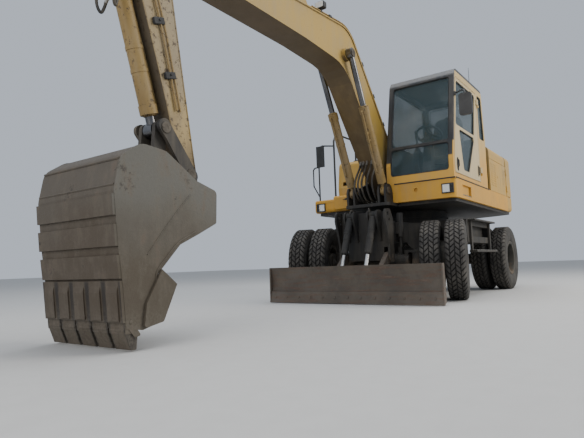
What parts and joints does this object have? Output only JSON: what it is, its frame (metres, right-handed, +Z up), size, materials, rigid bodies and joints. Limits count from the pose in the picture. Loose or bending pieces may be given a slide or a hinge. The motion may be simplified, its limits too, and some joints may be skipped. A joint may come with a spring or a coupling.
{
  "type": "wheeled excavator",
  "caption": "Wheeled excavator with twin tyres, front dozer blade, one-piece boom, arm and bucket, as parked",
  "frame": {"origin": "on the ground under the centre of the swing bearing", "axes": "X forward towards the blade, Y to the left, Z up"},
  "size_m": [8.099, 2.7592, 3.8118],
  "materials": {
    "yellow_paint": "satin, dusty",
    "frame_black": "matt, muddy",
    "cab_paint": "satin",
    "rail_paint": "satin",
    "rim_paint": "matt, dusty",
    "worn_steel": "worn, earthy",
    "rod_chrome": "polished",
    "tyre_rubber": "matt, dusty",
    "cab_glass": "clear, greenish",
    "lamp_lens": "ribbed",
    "cab_plastic": "grained",
    "seat_fabric": "woven"
  },
  "bodies": {
    "chassis": {"chassis_frame": "frame_black", "swing_bearing": "frame_black", "side_steps": "frame_black", "front_axle": "frame_black", "rear_axle": "frame_black", "drive_line": "frame_black", "axle_locks": "frame_black"},
    "knuckle_left": {"knuckle_left": "frame_black"},
    "knuckle_right": {"knuckle_right": "frame_black"},
    "tie_rod": {"tie_rod": "frame_black"},
    "wheel_front_left": {"tyres_front_left": "tyre_rubber", "rims_front_left": "rim_paint"},
    "wheel_front_right": {"tyres_front_right": "tyre_rubber", "rims_front_right": "rim_paint"},
    "wheel_rear_left": {"tyres_rear_left": "tyre_rubber", "rims_rear_left": "rim_paint"},
    "wheel_rear_right": {"tyres_rear_right": "tyre_rubber", "rims_rear_right": "rim_paint"},
    "blade": {"blade": "worn_steel"},
    "blade_barrels": {"blade_barrels": "frame_black"},
    "blade_rods": {"blade_rods": "rod_chrome"},
    "upper": {"upper_frame": "frame_black", "lower_band": "yellow_paint", "counterweight": "yellow_paint", "engine_block": "frame_black", "tank_housing": "yellow_paint", "tool_box": "yellow_paint", "handrails": "rail_paint", "mirrors": "rail_paint", "lamps": "lamp_lens", "cab_shell": "cab_paint", "cab_glass": "cab_glass", "seat_base": "cab_plastic", "seat_cushions": "seat_fabric", "controls": "cab_plastic"},
    "hood": {"hood": "yellow_paint"},
    "side_door_left": {"side_door_left": "yellow_paint"},
    "side_door_right": {"side_door_right": "yellow_paint"},
    "cab_door": {"cab_door": "yellow_paint", "door_glass": "cab_glass"},
    "boom": {"boom": "yellow_paint"},
    "boom_barrels": {"boom_barrels": "yellow_paint"},
    "boom_rods": {"boom_rods": "rod_chrome"},
    "arm_barrel": {"arm_barrel": "yellow_paint"},
    "arm_rod": {"arm_rod": "rod_chrome"},
    "arm": {"arm": "yellow_paint"},
    "bucket_barrel": {"bucket_barrel": "yellow_paint"},
    "bucket_rod": {"bucket_rod": "rod_chrome"},
    "rocker": {"rocker": "frame_black"},
    "bucket_link": {"bucket_link": "frame_black"},
    "bucket": {"bucket": "worn_steel"}
  },
  "joints": [
    {"name": "swing", "type": "hinge", "parent": "chassis", "child": "upper", "pos_m": [0, 0, 1.262], "axis": [0, 0, 1], "continuous": true},
    {"name": "steer_left", "type": "hinge", "parent": "chassis", "child": "knuckle_left", "pos_m": [1.324, 0.6, 0.526], "axis": [0, 0, 1], "range_deg": [-40.7, 11.3]},
    {"name": "steer_right", "type": "hinge", "parent": "chassis", "child": "knuckle_right", "pos_m": [1.324, -0.6, 0.526], "axis": [0, 0, 1], "range_deg": [-40.7, 11.3]},
    {"name": "tie_rod_turn", "type": "hinge", "parent": "knuckle_left", "child": "tie_rod", "pos_m": [1.12087, 0.54671, 0.42], "axis": [0, 0, 1], "range_deg": [-11.3, 40.7]},
    {"name": "wheel_spin_front_left", "type": "hinge", "parent": "knuckle_left", "child": "wheel_front_left", "pos_m": [1.324, 0.6, 0.526], "axis": [-0.2538, 0.9673, 0], "continuous": true},
    {"name": "wheel_spin_front_right", "type": "hinge", "parent": "knuckle_right", "child": "wheel_front_right", "pos_m": [1.324, -0.6, 0.526], "axis": [-0.2538, 0.9673, 0], "continuous": true},
    {"name": "wheel_spin_rear_left", "type": "hinge", "parent": "chassis", "child": "wheel_rear_left", "pos_m": [-1.298, 0.935, 0.526], "axis": [0, 1, 0], "continuous": true},
    {"name": "wheel_spin_rear_right", "type": "hinge", "parent": "chassis", "child": "wheel_rear_right", "pos_m": [-1.298, -0.935, 0.526], "axis": [0, 1, 0], "continuous": true},
    {"name": "blade_lift", "type": "hinge", "parent": "chassis", "child": "blade", "pos_m": [1.62, 0, 0.6], "axis": [0, -1, 0], "range_deg": [-10, 34]},
    {"name": "blade_barrel_tilt", "type": "hinge", "parent": "chassis", "child": "blade_barrels", "pos_m": [1.72, 0, 1.16], "axis": [0, -1, 0], "range_deg": [-5, 15]},
    {"name": "blade_rod_slide", "type": "slide", "parent": "blade_barrels", "child": "blade_rods", "axis": [0.3777, 0, -0.9259], "range_m": [-0.22, 0.08]},
    {"name": "boom_lift", "type": "hinge", "parent": "upper", "child": "boom", "pos_m": [0.78, 0, 1.62], "axis": [0, -1, 0], "range_deg": [-45, 36]},
    {"name": "boom_barrel_tilt", "type": "hinge", "parent": "upper", "child": "boom_barrels", "pos_m": [1.48, 0, 1.5], "axis": [0, -1, 0], "range_deg": [-52, 42]},
    {"name": "boom_rod_slide", "type": "slide", "parent": "boom_barrels", "child": "boom_rods", "axis": [0.4258, 0, 0.9048], "range_m": [-0.48, 0.39]},
    {"name": "arm_swing", "type": "hinge", "parent": "boom", "child": "arm", "pos_m": [5.32, 0, 3.25], "axis": [0, 1, 0], "range_deg": [-72, 38]},
    {"name": "arm_barrel_tilt", "type": "hinge", "parent": "boom", "child": "arm_barrel", "pos_m": [3.25, 0, 3.74], "axis": [0, 1, 0], "range_deg": [-2, 2]},
    {"name": "arm_rod_slide", "type": "slide", "parent": "arm_barrel", "child": "arm_rod", "axis": [1, 0, -0.0058], "range_m": [-0.6, 0.32]},
    {"name": "bucket_curl", "type": "hinge", "parent": "arm", "child": "bucket", "pos_m": [4.95, 0, 1], "axis": [0, 1, 0], "range_deg": [-6, 160]},
    {"name": "rocker_turn", "type": "hinge", "parent": "arm", "child": "rocker", "pos_m": [4.988, 0, 1.29], "axis": [0, 1, 0], "range_deg": [-8, 137]},
    {"name": "link_turn", "type": "hinge", "parent": "rocker", "child": "bucket_link", "pos_m": [5.25, 0, 1.63], "axis": [0, 1, 0], "range_deg": [-75, 5]},
    {"name": "bucket_barrel_tilt", "type": "hinge", "parent": "arm", "child": "bucket_barrel", "pos_m": [5.65, 0, 3.05], "axis": [0, 1, 0], "range_deg": [-7, 2]},
    {"name": "bucket_rod_slide", "type": "slide", "parent": "bucket_barrel", "child": "bucket_rod", "axis": [-0.2711, 0, -0.9625], "range_m": [-0.05, 0.82]},
    {"name": "cab_door_swing", "type": "hinge", "parent": "upper", "child": "cab_door", "pos_m": [0.055, 1.19, 1.8], "axis": [0, 0, 1], "range_deg": [0, 150]},
    {"name": "hood_lift", "type": "hinge", "parent": "upper", "child": "hood", "pos_m": [-0.42, 0, 2.318], "axis": [0, 1, 0], "range_deg": [0, 60]},
    {"name": "side_door_left_swing", "type": "hinge", "parent": "upper", "child": "side_door_left", "pos_m": [-1.49, 1.194, 1.69], "axis": [0, 0, 1], "range_deg": [0, 100]},
    {"name": "side_door_right_swing", "type": "hinge", "parent": "upper", "child": "side_door_right", "pos_m": [-1.49, -1.194, 1.69], "axis": [0, 0, -1], "range_deg": [0, 100]}
  ],
  "couplings": [
    {"joint": "steer_right", "follows": "steer_left", "ratio": 1},
    {"joint": "tie_rod_turn", "follows": "steer_left", "ratio": -1},
    {"joint": "blade_barrel_tilt", "follows": "blade_lift", "ratio": 0.39779},
    {"joint": "blade_rod_slide", "follows": "blade_lift", "m_per_rad": -0.34203},
    {"joint": "boom_barrel_tilt", "follows": "boom_lift", "ratio": 1},
    {"joint": "boom_rod_slide", "follows": "boom_lift", "m_per_rad": 0.58338},
    {"joint": "arm_barrel_tilt", "follows": "arm_swing", "ratio": 0.013693},
    {"joint": "arm_rod_slide", "follows": "arm_swing", "m_per_rad": 0.45326},
    {"joint": "rocker_turn", "follows": "bucket_curl", "ratio": 0.793},
    {"joint": "link_turn", "follows": "bucket_curl", "ratio": -0.3406},
    {"joint": "bucket_barrel_tilt", "follows": "bucket_curl", "ratio": -0.01},
    {"joint": "bucket_rod_slide", "follows": "bucket_curl", "m_per_rad": 0.2743}
  ]
}
